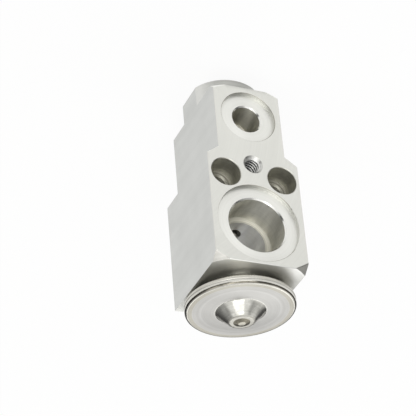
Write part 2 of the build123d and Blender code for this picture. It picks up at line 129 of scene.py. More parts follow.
def add_node(
    tree: bpy.types.NodeTree,
    kind: str,
    settings: Optional[dict[str, Any]] = None,
    links: Optional[dict[Any, bpy.types.NodeSocket]] = None,
) -> bpy.types.Node:
    """Add one node with its settings and links.

    Args:
        tree: node tree that gets the node.
        kind: Blender's type name of the node.
        settings: attribute names, or input names and numbers, with their values.
        links: input names or numbers with the sockets that feed them.

    Returns:
        The new node.
    """
    node = tree.nodes.new(kind)
    for key, value in (settings or {}).items():
        if isinstance(key, str) and hasattr(node, key):
            setattr(node, key, value)
        else:
            node.inputs[key].default_value = value
    for key, socket in (links or {}).items():
        tree.links.new(socket, node.inputs[key])
    return node


# Noise seldom leaves the first two; line marks are drawn out along their axis by the third
NOISE_LOW = 0.3
NOISE_HIGH = 0.7
LINE_STRETCH = 0.985


class Marks(Enum):
    """The kind of marks that a tool leaves in a surface."""

    RINGS = "grooves round an axis, from turning, boring or drilling"
    LINES = "straight lines along an axis, from extruding, drawing or grinding"
    GRAIN = "fine even grain, from pressing, rolling or moulding"


@dataclass(frozen=True)
class Finish:
    """A surface: its colour, its sheen, and the marks that its making left.

    Attributes:
        name: the material and how its surface was made.
        colour: sRGB hex colour of the clean material.
        mark_colour: sRGB hex colour in the marks' valleys.
        roughness: spread of its reflections.
        roughness_swing: how much the marks change that spread.
        marks: the kind of marks.
        axis: the axis that the marks run round or along.
        centre: a point on that axis, in millimetres.
        mark_pitch: distance between tool marks, in millimetres.
        mark_depth: height of the tool marks' relief, in millimetres.
        mark_share: how much of the tone follows the marks, and not the soft patches.
        cloud_size: size of the soft patches in the tone, in millimetres.
        streak: how many times longer the patches are along the axis.
        anisotropic: how strongly the marks stretch a reflection.
        metallic: one for bare metal, zero for rubber.
        painted_light_colour: sRGB hex colour of painted light, a paler colour for the brighter
            reflection towards two opposite sides of the bar.
        painted_light_axis: the axis that points to those sides.
        painted_light_span: distances along it from the centre between which that painted light comes
            in.
    """

    name: str
    colour: str
    mark_colour: str
    roughness: float
    roughness_swing: float = 0.04
    marks: Marks = Marks.GRAIN
    axis: Axis = Axis.Z
    centre: Point = ORIGIN
    mark_pitch: float = 0.3
    mark_depth: float = 0.001
    mark_share: float = 0.5
    cloud_size: float = 12.0
    streak: float = 1.0
    anisotropic: float = 0.0
    metallic: float = 1.0
    painted_light_colour: str = "#FFFFFF"
    painted_light_axis: Axis = Axis.X
    painted_light_span: Optional[tuple[float, float]] = None

    def material(self) -> bpy.types.Material:
        """Build the finish as a node material.

        Returns:
            The material, with its marks drawn from Object coordinates.
        """
        material = bpy.data.materials.new(self.name)
        material.use_nodes = True
        tree = material.node_tree
        tree.nodes.clear()
        coordinates = add_node(tree, "ShaderNodeTexCoord")
        place = add_node(
            tree, "ShaderNodeMapping", {"Location": tuple(-c * MM for c in self.centre)},
            {"Vector": coordinates.outputs["Object"]},
        ).outputs["Vector"]
        marks = self._marks(tree, place)
        tone = self._tone(tree, place, marks)
        colour = add_node(
            tree, "ShaderNodeMix",
            {"data_type": "RGBA", 6: linear(self.mark_colour), 7: linear(self.colour)},
            {0: tone},
        ).outputs[2]
        # Painted light: a paler colour towards two sides of the bar
        if self.painted_light_span:
            colour = self._paint_light(tree, place, colour)
        roughness = add_node(
            tree, "ShaderNodeMapRange",
            {"To Min": self.roughness + self.roughness_swing,
             "To Max": self.roughness - self.roughness_swing},
            {"Value": tone},
        ).outputs[0]
        relief = add_node(
            tree, "ShaderNodeBump", {"Strength": 1.0, "Distance": self.mark_depth * MM},
            {"Height": marks},
        ).outputs["Normal"]
        shader = add_node(
            tree, "ShaderNodeBsdfPrincipled",
            {"Metallic": self.metallic, "Anisotropic": self.anisotropic},
            {"Base Color": colour, "Roughness": roughness, "Normal": relief},
        )
        if self.anisotropic:
            across = self._across(tree, place, coordinates.outputs["Normal"])
            tree.links.new(across, shader.inputs["Tangent"])
        add_node(tree, "ShaderNodeOutputMaterial", None, {"Surface": shader.outputs[0]})
        return material

    def _tone(
        self, tree: bpy.types.NodeTree, place: bpy.types.NodeSocket, marks: bpy.types.NodeSocket
    ) -> bpy.types.NodeSocket:
        """Mix the marks with soft patches into one tone.

        Args:
            tree: the material's node tree.
            place: Object coordinates, moved so that the centre is at zero.
            marks: a value from 0 to 1 that follows the marks.

        Returns:
            A value from 0 in valleys and dull patches to 1 on the clean material.
        """
        drawn_out = add_node(
            tree, "ShaderNodeMapping",
            {"Scale": tuple(1.0 - (1.0 - 1.0 / self.streak) * a for a in self.axis.value)},
            {"Vector": place},
        ).outputs["Vector"]
        clouds = add_node(
            tree, "ShaderNodeTexNoise",
            {"Scale": 1.0 / (self.cloud_size * MM), "Detail": 3.0, "Roughness": 0.55},
            {"Vector": drawn_out},
        ).outputs["Fac"]
        patches = add_node(
            tree, "ShaderNodeMath", {"operation": "MULTIPLY", 1: 1.0 - self.mark_share}, {0: clouds}
        ).outputs[0]
        mixed = add_node(
            tree, "ShaderNodeMath",
            {"operation": "MULTIPLY_ADD", 1: self.mark_share}, {0: marks, 2: patches},
        ).outputs[0]
        return add_node(
            tree, "ShaderNodeMapRange",
            {"From Min": NOISE_LOW, "From Max": NOISE_HIGH}, {"Value": mixed},
        ).outputs[0]

    def _paint_light(
        self, tree: bpy.types.NodeTree, place: bpy.types.NodeSocket, colour: bpy.types.NodeSocket
    ) -> bpy.types.NodeSocket:
        """Paint light: let the colour go over to the paler painted-light colour towards two sides of
        the bar.

        Args:
            tree: the material's node tree.
            place: Object coordinates, moved so that the centre is at zero.
            colour: the colour near the axis.

        Returns:
            The blended colour.
        """
        sideways = add_node(
            tree, "ShaderNodeVectorMath",
            {"operation": "DOT_PRODUCT", 1: self.painted_light_axis.value}, {0: place},
        ).outputs["Value"]
        away = add_node(
            tree, "ShaderNodeMath", {"operation": "ABSOLUTE"}, {0: sideways}
        ).outputs[0]
        share = add_node(
            tree, "ShaderNodeMapRange",
            {"From Min": self.painted_light_span[0] * MM, "From Max": self.painted_light_span[1] * MM}, {"Value": away},
        ).outputs[0]
        return add_node(
            tree, "ShaderNodeMix", {"data_type": "RGBA", 7: linear(self.painted_light_colour)},
            {0: share, 6: colour},
        ).outputs[2]

    def _around(self, tree: bpy.types.NodeTree, place: bpy.types.NodeSocket) -> bpy.types.NodeSocket:
        """Give the direction round the axis, as long as the distance from it.

        Args:
            tree: the material's node tree.
            place: Object coordinates, moved so that the centre is at zero.

        Returns:
            The direction, as a vector.
        """
        return add_node(
            tree, "ShaderNodeVectorMath",
            {"operation": "CROSS_PRODUCT", 1: self.axis.value}, {0: place},
        ).outputs[0]

    def _across(
        self,
        tree: bpy.types.NodeTree,
        place: bpy.types.NodeSocket,
        normal: bpy.types.NodeSocket,
    ) -> bpy.types.NodeSocket:
        """Give the direction across the marks, in which they stretch a reflection.

        Args:
            tree: the material's node tree.
            place: Object coordinates, moved so that the centre is at zero.
            normal: the surface's own direction, in Object coordinates.

        Returns:
            The direction in the surface, in world space.
        """
        if self.marks is Marks.RINGS:
            sources: dict[Any, bpy.types.NodeSocket] = {0: normal, 1: self._around(tree, place)}
            settings: dict[Any, Any] = {"operation": "CROSS_PRODUCT"}
        else:
            sources = {0: normal}
            settings = {"operation": "CROSS_PRODUCT", 1: self.axis.value}
        across = add_node(tree, "ShaderNodeVectorMath", settings, sources).outputs[0]
        turned = add_node(
            tree, "ShaderNodeVectorTransform",
            {"vector_type": "VECTOR", "convert_from": "OBJECT", "convert_to": "WORLD"},
            {0: across},
        ).outputs[0]
        return add_node(
            tree, "ShaderNodeVectorMath", {"operation": "NORMALIZE"}, {0: turned}
        ).outputs[0]

    def _marks(self, tree: bpy.types.NodeTree, place: bpy.types.NodeSocket) -> bpy.types.NodeSocket:
        """Draw the tool marks.

        Args:
            tree: the material's node tree.
            place: Object coordinates, moved so that the centre is at zero.

        Returns:
            A value from 0 to 1 that follows the marks.
        """
        scale = 1.0 / (self.mark_pitch * MM)
        if self.marks is Marks.GRAIN:
            return add_node(
                tree, "ShaderNodeTexNoise", {"Scale": scale, "Detail": 2.0}, {"Vector": place}
            ).outputs["Fac"]
        if self.marks is Marks.LINES:
            drawn = add_node(
                tree, "ShaderNodeMapping",
                {"Scale": tuple(1.0 - LINE_STRETCH * a for a in self.axis.value)},
                {"Vector": place},
            ).outputs["Vector"]
            return add_node(
                tree, "ShaderNodeTexNoise", {"Scale": scale, "Detail": 3.0}, {"Vector": drawn}
            ).outputs["Fac"]
        radius = add_node(
            tree, "ShaderNodeVectorMath", {"operation": "LENGTH"}, {0: self._around(tree, place)}
        ).outputs["Value"]
        along = add_node(
            tree, "ShaderNodeVectorMath",
            {"operation": "DOT_PRODUCT", 1: self.axis.value}, {0: place},
        ).outputs["Value"]
        ring = add_node(
            tree, "ShaderNodeCombineXYZ", None, {"X": radius, "Y": along}
        ).outputs[0]
        return add_node(
            tree, "ShaderNodeTexNoise",
            {"noise_dimensions": "2D", "Scale": scale, "Detail": 3.0}, {"Vector": ring},
        ).outputs["Fac"]


@dataclass(frozen=True)
class Panel:
    """A soft patch of light in the studio's walls.

    Attributes:
        direction: direction of its middle.
        fade_from: cosine of the angle from the middle where it fades out.
        fade_to: cosine of the angle from the middle where it is at full strength.
        light: brightness that it adds.
    """

    direction: Point
    fade_from: float
    fade_to: float
    light: float


@dataclass(frozen=True)
class Lamp:
    """A soft rectangular lamp.

    Attributes:
        name: name of the lamp.
        place: its middle, in metres.
        aim: the point that it faces, in metres.
        width: its width, in metres.
        height: its height, in metres.
        power: its power, in watts.
    """

    name: str
    place: Point
    aim: Point
    width: float
    height: float
    power: float

    def build(self) -> None:
        """Hang the lamp."""
        data = bpy.data.lights.new(self.name, "AREA")
        data.shape = "RECTANGLE"
        data.size = self.width
        data.size_y = self.height
        data.energy = self.power
        lamp = bpy.data.objects.new(self.name, data)
        bpy.context.scene.collection.objects.link(lamp)
        lamp.location = self.place
        towards = Vector(self.aim) - Vector(self.place)
        lamp.rotation_euler = towards.to_track_quat("-Z", "Y").to_euler()


@dataclass
class Studio:
    """The camera, the pale floor, the soft grey room round it and its lamps.

    Attributes:
        camera_place: where the camera stands, in metres.
        camera_right: direction of the picture's right side.
        camera_down: direction of the picture's lower side.
        camera_forward: direction that the camera looks in.
        lens: focal length on a sensor 36 mm wide.
        walls_from: height, as a direction's Z, where the room's walls end.
        walls_to: height, as a direction's Z, where its ceiling starts.
        wall_light: brightness of the walls.
        ceiling_light: brightness of the ceiling.
        panels: the soft patches of light in the walls and ceiling.
        lamps: the lamp in front and the card that throws light back from behind.
        floor_height: height of the floor, a hair under the boss, in metres.
        floor_seen: share of its own white that the floor shows the camera.
        floor_mirrored: share of its own white that the floor shows in reflections.
    """

    camera_place: Point = (0.24474, -0.50300, 0.40030)
    camera_right: Point = (-0.92187, -0.38029, 0.07432)
    camera_down: Point = (-0.14695, 0.52059, 0.84107)
    camera_forward: Point = (-0.35854, 0.76444, -0.53580)
    lens: float = 163.2
    walls_from: float = 0.05
    walls_to: float = 0.75
    wall_light: float = 0.08
    ceiling_light: float = 0.5
    panels: tuple[Panel, ...] = (
        Panel((0.31, -0.44, 0.84), 0.60, 0.82, 0.6),
        Panel((-0.66, 0.20, 0.72), 0.80, 0.95, 0.6),
        Panel((0.25, -0.95, 0.15), 0.86, 0.96, 2.2),
    )
    lamps: tuple[Lamp, ...] = (
        Lamp("panel_lamp", (0.22, -0.31, 0.65), (0.0, 0.0, 0.05), 0.45, 0.45, 0.75),
        Lamp("rear_card", (-0.21, 0.46, 0.46), (0.0, 0.0, 0.085), 0.40, 0.30, 0.45),
    )
    floor_height: float = -0.00002
    floor_seen: float = 0.92
    floor_mirrored: float = 0.8

    def build(self) -> None:
        """Make the camera, the floor, the lamps and the world."""
        self._camera()
        self._floor()
        self._world()
        for lamp in self.lamps:
            lamp.build()

    def _camera(self) -> None:
        """Place the camera by its own three directions."""
        data = bpy.data.cameras.new("camera")
        data.lens = self.lens
        data.sensor_width = 36.0
        data.clip_start = 0.01
        data.clip_end = 20.0
        camera = bpy.data.objects.new("camera", data)
        bpy.context.scene.collection.objects.link(camera)
        right, up = Vector(self.camera_right), -Vector(self.camera_down)
        back = -Vector(self.camera_forward)
        turn = Matrix((right, up, back)).transposed().to_4x4()
        camera.matrix_world = Matrix.Translation(self.camera_place) @ turn
        bpy.context.scene.camera = camera

    def _floor(self) -> None:
        """Lay a sheet of pale paper just under the boss, as floor."""
        bpy.ops.object.select_all(action="DESELECT")
        bpy.ops.mesh.primitive_plane_add(size=1.0, location=(0.0, 0.0, self.floor_height))
        floor = bpy.context.active_object
        floor.name = "floor"
        material = bpy.data.materials.new("pale_paper")
        material.use_nodes = True
        tree = material.node_tree
        tree.nodes.clear()
        paper = add_node(tree, "ShaderNodeBsdfDiffuse", {"Color": linear("#F4F4F2")}).outputs[0]
        glow = add_node(
            tree, "ShaderNodeEmission", {"Color": WHITE, "Strength": 1.0}
        ).outputs[0]
        path = add_node(tree, "ShaderNodeLightPath")
        mirrored = add_node(
            tree, "ShaderNodeMath", {"operation": "MAXIMUM"},
            {0: path.outputs["Is Glossy Ray"], 1: path.outputs["Is Transmission Ray"]},
        ).outputs[0]
        seen = add_node(
            tree, "ShaderNodeMath", {"operation": "MULTIPLY", 1: self.floor_seen},
            {0: path.outputs["Is Camera Ray"]},
        ).outputs[0]
        share = add_node(
            tree, "ShaderNodeMath",
            {"operation": "MULTIPLY_ADD", 1: self.floor_mirrored}, {0: mirrored, 2: seen},
        ).outputs[0]
        mix = add_node(tree, "ShaderNodeMixShader", None, {0: share, 1: paper, 2: glow}).outputs[0]
        add_node(tree, "ShaderNodeOutputMaterial", None, {"Surface": mix})
        floor.data.materials.append(material)

    def _world(self) -> None:
        """Give the world white to the camera and a soft grey room to everything else."""
        world = bpy.data.worlds.new("studio_room")
        bpy.context.scene.world = world
        world.use_nodes = True
        tree = world.node_tree
        tree.nodes.clear()
        path = add_node(tree, "ShaderNodeLightPath")
        direction = add_node(tree, "ShaderNodeTexCoord").outputs["Generated"]
        height = add_node(
            tree, "ShaderNodeSeparateXYZ", None, {"Vector": direction}
        ).outputs["Z"]
        dome = add_node(
            tree, "ShaderNodeMapRange",
            {"interpolation_type": "SMOOTHSTEP", "From Min": self.walls_from,
             "From Max": self.walls_to, "To Min": self.wall_light, "To Max": self.ceiling_light},
            {"Value": height},
        ).outputs[0]
        for panel in self.panels:
            towards = add_node(
                tree, "ShaderNodeVectorMath",
                {"operation": "DOT_PRODUCT", 1: panel.direction}, {0: direction},
            ).outputs["Value"]
            glow = add_node(
                tree, "ShaderNodeMapRange",
                {"interpolation_type": "SMOOTHSTEP", "From Min": panel.fade_from,
                 "From Max": panel.fade_to, "To Min": 0.0, "To Max": panel.light},
                {"Value": towards},
            ).outputs[0]
            dome = add_node(
                tree, "ShaderNodeMath", {"operation": "ADD"}, {0: dome, 1: glow}
            ).outputs[0]
        room = add_node(
            tree, "ShaderNodeBackground", {"Color": WHITE}, {"Strength": dome}
        ).outputs[0]
        white = add_node(
            tree, "ShaderNodeBackground", {"Color": WHITE, "Strength": 1.0}
        ).outputs[0]
        mix = add_node(
            tree, "ShaderNodeMixShader", None,
            {0: path.outputs["Is Camera Ray"], 1: room, 2: white},
        ).outputs[0]
        add_node(tree, "ShaderNodeOutputWorld", None, {"Surface": mix})


class BodyFinish(Enum):
    """The finishes that the block carries, one for each way its faces were cut."""

    # Extruded skin: long faint die lines across the bar; its colour is painted a little greyer than
    # cut metal, as painted shade of the sides turned from the light
    EXTRUDED = Finish(
        "extruded_aluminium", "#D3D4D1", "#C7C8C5", 0.32, 0.02, marks=Marks.LINES, axis=Axis.Y,
        mark_pitch=5.0, mark_depth=0.002, mark_share=0.6, cloud_size=9.0, anisotropic=0.3,
    )
    # Face-milled flats: pale, even, with wide shallow arcs of a cutter far off to the side
    MILLED = Finish(
        "milled_aluminium", "#E8E8E2", "#E2E2DC", 0.42, 0.02, marks=Marks.RINGS, axis=Axis.Y,
        mark_pitch=0.7, mark_depth=0.0003,
    )
    # Turned sealing floors: the palest surface, because fine rings catch all the light
    TURNED_FLOOR = Finish(
        "turned_sealing_floor", "#F2F2ED", "#EBEBE5", 0.38, 0.04, marks=Marks.RINGS, axis=Axis.Y,
        mark_pitch=0.5, mark_depth=0.0008, anisotropic=0.5,
    )
    # Bored walls: rings pull each reflection out along the bore, and darker patches drawn out along
    # the bore are painted dark reflection streaks
    BORED = Finish(
        "bored_aluminium", "#F9F8F0", "#A6A59B", 0.40, 0.10, marks=Marks.RINGS, axis=Axis.Y,
        mark_pitch=0.6, mark_depth=0.0003, mark_share=0.12, cloud_size=6.0, streak=4.0,
        anisotropic=0.9,
    )
    # The inlet's bore: the same tool, a little duller, with its colour painted darker as shade deep
    # in the bore
    INLET_BORE = Finish(
        "bored_aluminium_painted_shade", "#E0DED1", "#A9A79B", 0.44, 0.08, marks=Marks.RINGS, axis=Axis.Y,
        mark_pitch=0.6, mark_depth=0.0003, mark_share=0.12, cloud_size=4.5, streak=4.0,
        anisotropic=0.9,
    )
    # The narrow passage behind: finer bored, with its colour painted lighter as painted light deep
    # in the port, and the same long reflections
    PASSAGE = Finish(
        "fine_bored_aluminium", "#FFFFFD", "#DAD9D3", 0.50, 0.10, marks=Marks.RINGS, axis=Axis.Y,
        mark_pitch=0.6, mark_depth=0.0003, mark_share=0.12, cloud_size=4.5, streak=4.0,
        anisotropic=0.85,
    )
    # The sealing recesses' short walls: rubbed by the tool's side, so duller than the floors
    RECESS_WALL = Finish(
        "turned_recess_wall", "#DADAD5", "#C0C0BB", 0.38, 0.04, marks=Marks.RINGS, axis=Axis.Y,
        mark_pitch=0.4, mark_depth=0.0006, mark_share=0.9,
    )
    # The recesses' mouths: a fine edge break, coloured darker as painted shade so that it shows as a
    # thin dark line
    MOUTH_EDGE = Finish(
        "mouth_edge_painted_shade", "#B7B5AB", "#A19F95", 0.35, 0.04, marks=Marks.RINGS, axis=Axis.Y,
        mark_depth=0.0004,
    )
    # Shoulders deep in the ports: faced with soft rings, matt and a little warm
    SHOULDER = Finish(
        "faced_shoulder", "#F4F2E8", "#D2D0C5", 0.70, 0.05, marks=Marks.RINGS, axis=Axis.Y,
        mark_pitch=0.8, mark_depth=0.0008, mark_share=0.8, anisotropic=0.5,
    )
    # Bevels and broken edges: burnished by the tool, so they flash in a thin line
    BEVEL = Finish(
        "burnished_bevel", "#F0F0EC", "#E4E4DF", 0.18, 0.03, marks=Marks.RINGS, axis=Axis.Y,
        mark_depth=0.0004,
    )
    # Ends turned about the valve's axis: rings fan each reflection out from the head, and
    # the colour is painted paler towards the front and rear edges, as painted reflection of the
    # light there
    TURNED_END = Finish(
        "turned_aluminium_end", "#C8C8C3", "#BBBBB6", 0.40, 0.03, marks=Marks.RINGS, axis=Axis.Z,
        mark_pitch=0.6, mark_depth=0.0001, anisotropic=0.5, painted_light_colour="#EEEEEA",
        painted_light_axis=Axis.Y, painted_light_span=(13.0, 20.0),
    )
    # The corner facets at the head's end: turned at a slant, duller and greyer
    TURNED_CORNER = Finish(
        "turned_aluminium_corner", "#BEBDB7", "#B0AFA9", 0.42, 0.04, marks=Marks.RINGS, axis=Axis.Z,
        mark_pitch=0.6, mark_depth=0.0002, anisotropic=0.4,
    )
    # The boss, turned about the same axis: painted paler towards the bar's sides, as painted
    # reflection on its flanks
    TURNED_BOSS = Finish(
        "turned_aluminium_boss", "#C4C4C0", "#B2B2AD", 0.36, 0.05, marks=Marks.RINGS, axis=Axis.Z,
        mark_pitch=0.5, mark_depth=0.0005, anisotropic=0.6, painted_light_colour="#E2E2DE",
        painted_light_span=(7.0, 11.5),
    )
    # The foot's corner facets, painted paler as a painted highlight where they reflect the light
    TURNED_FOOT = Finish(
        "turned_aluminium_foot", "#FAFAF6", "#F0F0EB", 0.62, 0.04, marks=Marks.RINGS, axis=Axis.Z,
        mark_pitch=0.5, mark_depth=0.0003,
    )
    # Drilled and counterbored holes: a rougher wall, so a little darker and duller
    DRILLED = Finish(
        "drilled_aluminium", "#DBDAD2", "#C2C1B8", 0.38, 0.08, marks=Marks.RINGS, axis=Axis.Y,
        mark_pitch=0.5, mark_depth=0.001, anisotropic=0.3,
    )
    # The tapped hole's countersink: cut dry, a clean bright dish
    COUNTERSINK = Finish(
        "countersunk_aluminium", "#DADAD6", "#C6C6C1", 0.32, 0.04, marks=Marks.RINGS, axis=Axis.Y,
        mark_pitch=0.3, mark_depth=0.0006,
    )
    # The thread flanks that face outwards: the plain lit metal, against the painted shade of the
    # other sides
    THREAD_FLANK = Finish(
        "tapped_thread_flank", "#E4E4E1", "#CECECA", 0.45, 0.04, marks=Marks.RINGS, axis=Axis.Y,
        mark_pitch=0.2, mark_depth=0.0004,
    )
    # The fixing holes' seats: faced with coarse rings, so light and dark by turns
    COUNTERBORE_SEAT = Finish(
        "counterbored_seat", "#CDCBBF", "#85837A", 0.55, 0.05, marks=Marks.RINGS, axis=Axis.Y,
        mark_pitch=0.8, mark_depth=0.001, mark_share=0.9, anisotropic=0.4,
    )
    # The thread's other sides, turned away from the hole's mouth: painted almost black as their
    # shade
    THREAD_GROOVE = Finish(
        "tapped_thread_painted_shade", "#33322F", "#262523", 0.40, 0.05, marks=Marks.RINGS, axis=Axis.Y,
        mark_pitch=0.2, mark_depth=0.0004,
    )


class HeadFinish(Enum):
    """The finishes of the power head."""

    # Pressed steel blasted to a satin, with faint rings left by the forming tool
    SATIN = Finish(
        "satin_pressed_steel", "#D2D1CE", "#BFBEBA", 0.45, 0.04, marks=Marks.RINGS,
        mark_pitch=1.1, mark_depth=0.001, mark_share=0.7, anisotropic=0.3,
    )
    # The same steel where the weld's heat has left it a little brown
    HEATED = Finish(
        "heat_toned_steel", "#C5C2B8", "#B8B5AA", 0.42, 0.05, marks=Marks.RINGS,
        mark_pitch=0.7, mark_depth=0.001, anisotropic=0.3,
    )
    # The cone: stretched over its punch until it shines, with streaks up its sides
    DRAWN_CONE = Finish(
        "drawn_steel_cone", "#DCDBD4", "#AAA9A2", 0.20, 0.06, marks=Marks.RINGS,
        mark_pitch=0.5, mark_depth=0.0008, mark_share=0.3, cloud_size=2.2, streak=3.0,
        anisotropic=0.2,
    )
    # The cone's tip round the plug: dulled by the weld, and darkened over the rounded shoulder at
    # the cone's tip as painted shade that hides its bright reflection
    TINTED = Finish(
        "weld_tint_and_painted_shade_steel", "#C6C4BC", "#AFADA5", 0.35, 0.06, mark_pitch=0.4, mark_depth=0.002,
        cloud_size=1.5,
    )
    # The lower shell: the same strip, a little yellower where it was spun under the seam
    SPUN_PAN = Finish(
        "spun_steel_pan", "#D4D2CA", "#C0BDB3", 0.28, 0.05, marks=Marks.RINGS,
        mark_pitch=0.5, mark_depth=0.0008, cloud_size=6.0,
    )
    # Rims rolled smooth round the weld: a mirror line of light and dark
    ROLLED_RIM = Finish(
        "rolled_steel_rim", "#DBD9D2", "#CCCAC1", 0.12, 0.03, marks=Marks.RINGS,
        mark_pitch=0.3, mark_depth=0.0006,
    )
    # The cover's edge where it turns down: a patchy dark line, partly heat tint from the seam and
    # partly painted dark reflection of the rim's curve
    BLUED_EDGE = Finish(
        "heat_tint_and_painted_reflection_edge", "#A5A093", "#23211C", 0.22, 0.06, marks=Marks.RINGS,
        mark_pitch=0.3, mark_depth=0.0006, mark_share=0.1, cloud_size=6.0,
    )
    # The weld-on plug's flank: a greyish brown, partly weld scorch and partly painted shade of its
    # steep sides
    SCORCHED = Finish(
        "weld_scorch_and_painted_shade_steel", "#9A9587", "#747064", 0.30, 0.08, mark_pitch=0.5,
        mark_depth=0.01, cloud_size=1.5,
    )
    # The plug's flat top: painted paler, as a painted highlight on the face that meets the light
    WIPED_TOP = Finish(
        "plug_top_painted_highlight", "#BDBAAF", "#A5A195", 0.25, 0.06, mark_pitch=0.4,
        mark_depth=0.004, cloud_size=1.5,
    )
    # The neck under the pan, turned from bar
    TURNED_NECK = Finish(
        "turned_steel_neck", "#C9C7C1", "#B8B6AF", 0.24, 0.05, marks=Marks.RINGS,
        mark_pitch=0.4, mark_depth=0.001, anisotropic=0.5,
    )


class InnerFinish(Enum):
    """The finishes of the pieces inside the block."""

    # Rolled strip, as bright as it comes from the mill
    STRIP = Finish("bright_rolled_strip", "#C8C7C3", "#BAB9B4", 0.20, 0.04, mark_depth=0.0004)
    # Bar steel, turned: fine rings that draw a reflection out
    TURNED = Finish(
        "turned_bar_steel", "#BDBBB5", "#ABA9A2", 0.26, 0.05, marks=Marks.RINGS,
        mark_pitch=0.4, mark_depth=0.001, anisotropic=0.5,
    )
    # Centreless-ground pin: a clean bright line down its length
    GROUND = Finish(
        "ground_steel_pin", "#CFCECA", "#C2C1BC", 0.14, 0.03, marks=Marks.RINGS,
        mark_pitch=0.2, mark_depth=0.0003, anisotropic=0.4,
    )
    # Lapped ball: close to a mirror
    LAPPED = Finish("lapped_steel_ball", "#D2D2D0", "#CACAC7", 0.07, 0.02, mark_depth=0.0002)
    # Drawn spring wire: a dull dark grey
    WIRE = Finish("drawn_spring_wire", "#A9A7A2", "#97958F", 0.28, 0.05, mark_depth=0.0006)
    # The adjusting screw, turned from aluminium bar: paler than the steel round it
    SCREW = Finish(
        "turned_screw_aluminium", "#DADAD6", "#CBCBC6", 0.26, 0.05, marks=Marks.RINGS,
        mark_pitch=0.4, mark_depth=0.001, anisotropic=0.5,
    )
    # Moulded hydrogenated nitrile rubber: dark green, dull
    RUBBER = Finish(
        "moulded_green_rubber", "#1F3A2A", "#182E22", 0.55, 0.08, mark_depth=0.002,
        cloud_size=2.0, metallic=0.0,
    )


Cut = tuple[Enum, Point]


def select_alone(piece: bpy.types.Object) -> None:
    """Make a piece active and the only one selected."""
    bpy.ops.object.select_all(action="DESELECT")
    piece.select_set(True)
    bpy.context.view_layer.objects.active = piece


def free_copy(node: str, name: str) -> bpy.types.Object:
    """Copy a CAD node's mesh into a piece of its own and weld its loose triangles.

    Args:
        node: name of the CAD node.
        name: name of the new piece.

    Returns:
        The new piece, active and alone in the selection.
    """
    piece = bpy.data.objects.new(name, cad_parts[node].data.copy())
    bpy.context.scene.collection.objects.link(piece)
    select_alone(piece)
    bpy.ops.mesh.customdata_custom_splitnormals_clear()
    bpy.ops.object.mode_set(mode="EDIT")
    bpy.ops.mesh.select_all(action="SELECT")
    bpy.ops.mesh.remove_doubles(threshold=WELD_GAP)
    bpy.ops.object.mode_set(mode="OBJECT")
    return piece


def smooth_by_angle(piece: bpy.types.Object, degrees: float) -> None:
    """Shade a piece smooth, apart from edges sharper than an angle.

    Args:
        piece: the piece to shade.
        degrees: the angle, in degrees.
    """
    select_alone(piece)
    bpy.ops.object.shade_smooth_by_angle(angle=math.radians(degrees))


def dress(piece: bpy.types.Object, cut_of: Callable[[Vector, Vector], Cut]) -> None:
    """Give each face of a piece the finish of the cut that made it.

    Args:
        piece: the piece to dress.
        cut_of: tells the finish and its centre from a face's middle, in millimetres,
            and its outward direction.
    """
    slots: dict[Cut, int] = {}
    piece.data.materials.clear()
    for face in piece.data.polygons:
        cut = cut_of(face.center / MM, face.normal)
        if cut not in slots:
            slots[cut] = len(slots)
            piece.data.materials.append(replace(cut[0].value, centre=cut[1]).material())
        face.material_index = slots[cut]


@dataclass
class Thread:
    """A metric thread, as the cutter that a tap leaves the shape of.

    Attributes:
        major_radius: radius at the groove's bottom, in millimetres.
        inner_radius: radius of the cutter's inner side, inside the drilled hole.
        pitch: advance of one turn, in millimetres. An M6 thread has 1.0; it is drawn a
            quarter coarser here, so that its turns show.
        turns: number of turns.
        steps: flats in one turn.
        height: height of the hole's axis, in millimetres.
        start_y: where the first groove starts, in millimetres.
        flat: width of the groove's flat bottom, in millimetres.
        flank_angle: slant of the groove's sides, in degrees.
        weld_gap: points closer than this become one, in metres.
    """

    major_radius: float = 3.0
    inner_radius: float = 2.35
    pitch: float = 1.25
    turns: int = 10
    steps: int = 32
    height: float = TAPPED_Z
    start_y: float = HOSE_FACE_Y + 0.1
    flat: float = 0.125
    flank_angle: float = 30.0
    weld_gap: float = 0.000001

    def cutter(self) -> bpy.types.Object:
        """Wind the groove's outline along the hole.

        Returns:
            The closed cutter, to be subtracted from the block.
        """
        slope = math.tan(math.radians(self.flank_angle))
        half = self.flat / 2 + (self.major_radius - self.inner_radius) * slope
        outline = [
            (self.inner_radius, -half), (self.major_radius, -self.flat / 2),
            (self.major_radius, self.flat / 2), (self.inner_radius, half),
        ]
        bpy.ops.object.select_all(action="DESELECT")
        bpy.ops.mesh.primitive_plane_add(size=1.0)
        cutter = bpy.context.active_object
        cutter.name = "thread_cutter"
        order = list(cutter.data.polygons[0].vertices)
        for index, (radius, along) in zip(order, outline):
            cutter.data.vertices[index].co = Vector((radius, self.start_y + along, 0.0)) * MM
        bpy.ops.object.modifier_add(type="SCREW")
        screw = cutter.modifiers[-1]
        screw.axis = "Y"
        screw.angle = math.tau
        screw.screw_offset = self.pitch * MM
        screw.iterations = self.turns
        screw.steps = self.steps
        screw.render_steps = self.steps
        screw.use_smooth_shade = False
        bpy.ops.object.modifier_apply(modifier=screw.name)
        bpy.ops.object.mode_set(mode="EDIT")
        bpy.ops.mesh.select_all(action="SELECT")
        bpy.ops.mesh.remove_doubles(threshold=self.weld_gap)
        bpy.ops.mesh.select_all(action="DESELECT")
        bpy.ops.mesh.select_mode(type="EDGE")
        bpy.ops.mesh.select_non_manifold()
        bpy.ops.mesh.fill_holes(sides=4)
        bpy.ops.mesh.select_all(action="SELECT")
        bpy.ops.mesh.normals_make_consistent(inside=False)
        bpy.ops.object.mode_set(mode="OBJECT")
        cutter.data.transform(Matrix.Translation((0.0, 0.0, self.height * MM)))
        return cutter


